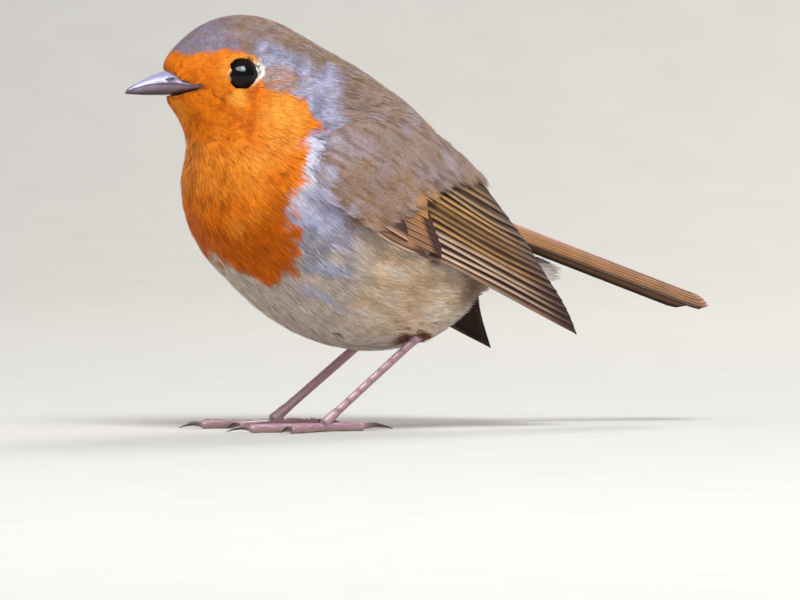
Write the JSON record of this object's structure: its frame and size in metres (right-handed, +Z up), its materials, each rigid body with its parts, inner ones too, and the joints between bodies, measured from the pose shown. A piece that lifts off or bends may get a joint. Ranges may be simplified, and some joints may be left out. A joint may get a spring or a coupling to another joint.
{
  "type": "european robin",
  "caption": "Standing European robin: a plump small songbird with a thin bill, folded drooped wings, a straight tail and slender legs.",
  "frame": {"origin": "on the floor, under the middle of the bird's box", "axes": "+Z up, -X towards the bill, +Y towards the bird's right side"},
  "size_m": [0.1192, 0.0464, 0.0795],
  "materials": {
    "plumage_orange": "soft orange feathers of the face and breast",
    "plumage_belly": "soft off-white to buff feathers",
    "plumage_brown": "soft olive-brown feathers",
    "flight_feathers": "smooth brown vanes with paler edges",
    "bill_horn": "dark horn with a slight sheen",
    "eye": "wet and nearly black",
    "leg_skin": "scaled pinkish skin with a slight sheen",
    "claw_horn": "dark horn"
  },
  "bodies": {
    "root": {"head": "plumage_orange", "neck": "plumage_orange", "trunk": "plumage_belly", "rump": "plumage_brown", "bill_upper": "bill_horn", "bill_lower": "bill_horn", "eye_left": "eye", "eye_right": "eye", "wing_left_coverts": "plumage_brown", "wing_left_secondaries": "flight_feathers", "wing_left_primaries": "flight_feathers", "wing_right_coverts": "plumage_brown", "wing_right_secondaries": "flight_feathers", "wing_right_primaries": "flight_feathers", "tail_middle": "flight_feathers", "tail_left": "flight_feathers", "tail_right": "flight_feathers", "thigh_left": "plumage_belly", "tarsus_left": "leg_skin", "toe_left_inner": "leg_skin", "toe_left_middle": "leg_skin", "toe_left_outer": "leg_skin", "toe_left_hind": "leg_skin", "claw_left_inner": "claw_horn", "claw_left_middle": "claw_horn", "claw_left_outer": "claw_horn", "claw_left_hind": "claw_horn", "thigh_right": "plumage_belly", "tarsus_right": "leg_skin", "toe_right_inner": "leg_skin", "toe_right_middle": "leg_skin", "toe_right_outer": "leg_skin", "toe_right_hind": "leg_skin", "claw_right_inner": "claw_horn", "claw_right_middle": "claw_horn", "claw_right_outer": "claw_horn", "claw_right_hind": "claw_horn"}
  },
  "joints": []
}
